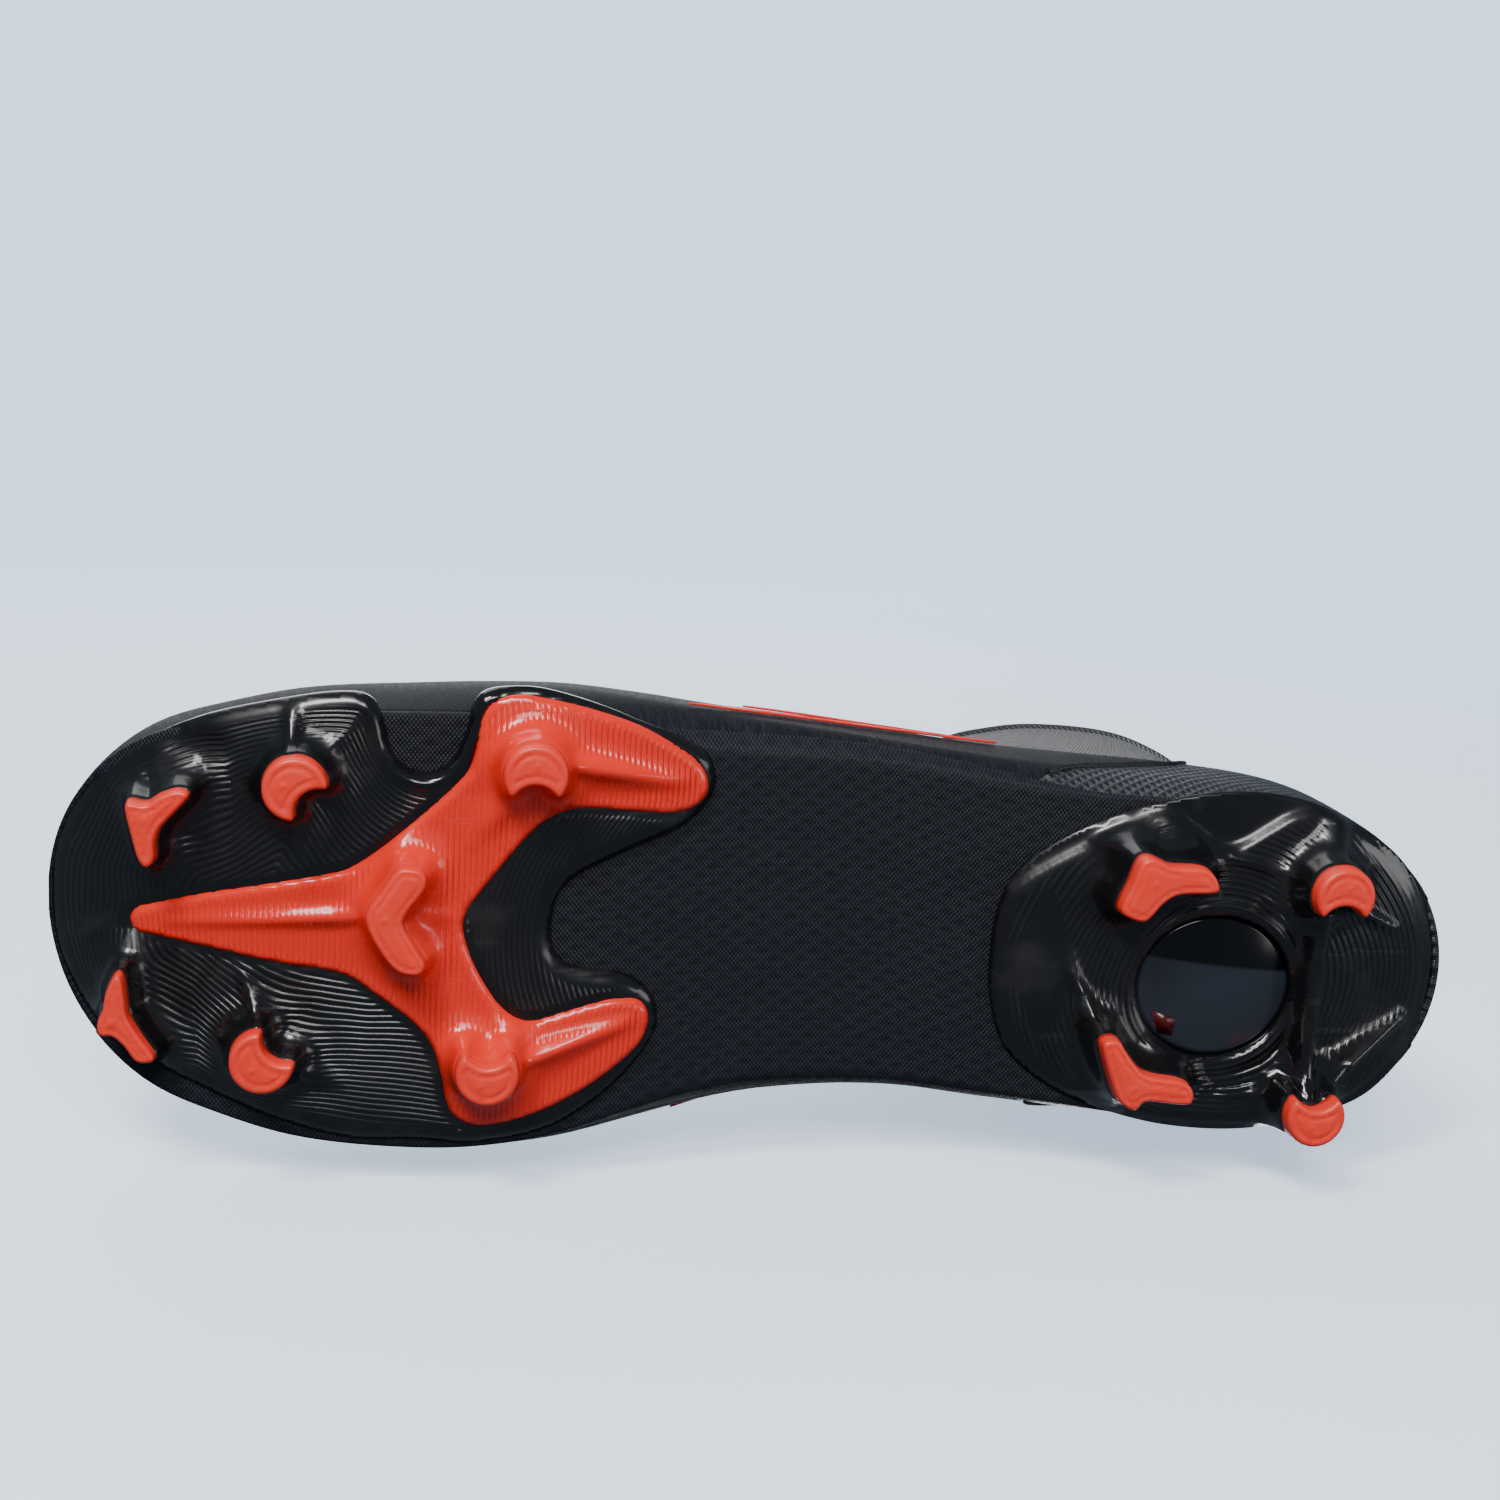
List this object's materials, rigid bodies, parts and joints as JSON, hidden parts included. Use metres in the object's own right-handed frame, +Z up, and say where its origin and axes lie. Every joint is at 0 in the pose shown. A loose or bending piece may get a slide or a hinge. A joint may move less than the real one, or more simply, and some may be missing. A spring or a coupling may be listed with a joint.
{
  "type": "soccer cleat",
  "caption": "Left soccer cleat with a knitted ankle collar, split moulded outsole, red forked chassis and chevron and crescent studs.",
  "frame": {"origin": "centre of the bounding box, on the ground under the studs", "axes": "+X towards the heel along the shoe, +Y towards the medial side, +Z up"},
  "size_m": [0.2988, 0.1001, 0.1434],
  "materials": {
    "plate_black": "glossy moulded nylon, fine moulded lines",
    "chassis_red": "glossy translucent moulded plastic, fine moulded lines",
    "stud_red": "satin moulded urethane",
    "trim_red": "satin bonded film",
    "window_smoke": "smoked clear plastic, polished",
    "upper_knit": "coated knit, satin, brushed",
    "heel_mesh": "embossed diamond mesh, satin",
    "skin_textured": "woven skin with embossed diamonds, satin",
    "collar_knit": "ribbed stretch knit, matt",
    "film_black": "thin bonded film, satin",
    "eyelet": "moulded, satin",
    "lace": "braided, matt",
    "lining": "brushed lining, matt",
    "tape": "woven tape, matt",
    "insole": "brushed textile over foam, matt",
    "board": "pressed fibre board, matt"
  },
  "bodies": {
    "hindfoot": {"ankle_collar": "collar_knit", "chassis_fork": "chassis_red", "collar_padding": "lining", "eyelets": "eyelet", "eyestay_lateral": "film_black", "eyestay_medial": "film_black", "forefoot_plate": "plate_black", "heel_counter": "board", "heel_plate": "plate_black", "heel_quarter": "heel_mesh", "heel_window": "window_smoke", "insole": "insole", "lace": "lace", "lasting_board": "board", "midfoot_skin": "skin_textured", "quarter_lateral": "upper_knit", "quarter_medial": "upper_knit", "stripe_lower_lateral": "trim_red", "stripe_lower_medial": "trim_red", "stripe_upper_lateral": "trim_red", "stripe_upper_medial": "trim_red", "stud_ball_lateral": "stud_red", "stud_ball_medial": "stud_red", "stud_centre": "stud_red", "stud_heel_front_lateral": "stud_red", "stud_heel_front_medial": "stud_red", "stud_heel_rear_lateral": "stud_red", "stud_heel_rear_medial": "stud_red", "tab_anchor": "tape", "tongue": "collar_knit", "vamp": "upper_knit", "vamp_flex_panel": "upper_knit"},
    "toe": {"toe_box": "upper_knit", "toe_puff": "board", "toe_plate": "plate_black", "chassis_spine": "chassis_red", "stud_front_lateral": "stud_red", "stud_front_medial": "stud_red", "stud_toe_lateral": "stud_red", "stud_toe_medial": "stud_red"},
    "tab": {"pull_tab": "tape"}
  },
  "joints": [
    {"name": "forefoot_flex", "type": "hinge", "parent": "hindfoot", "child": "toe", "pos_m": [-0.088, 0, 0.017], "axis": [0, 1, 0], "range_deg": [0, 25], "stiffness_Nm_per_rad": 12, "deforming": ["vamp_flex_panel", "lasting_board", "insole"]},
    {"name": "pull_tab_swing", "type": "hinge", "parent": "hindfoot", "child": "tab", "pos_m": [0.1372, 0.0083, 0.112], "axis": [0, 1, 0], "range_deg": [0, 80], "stiffness_Nm_per_rad": 0.02}
  ]
}
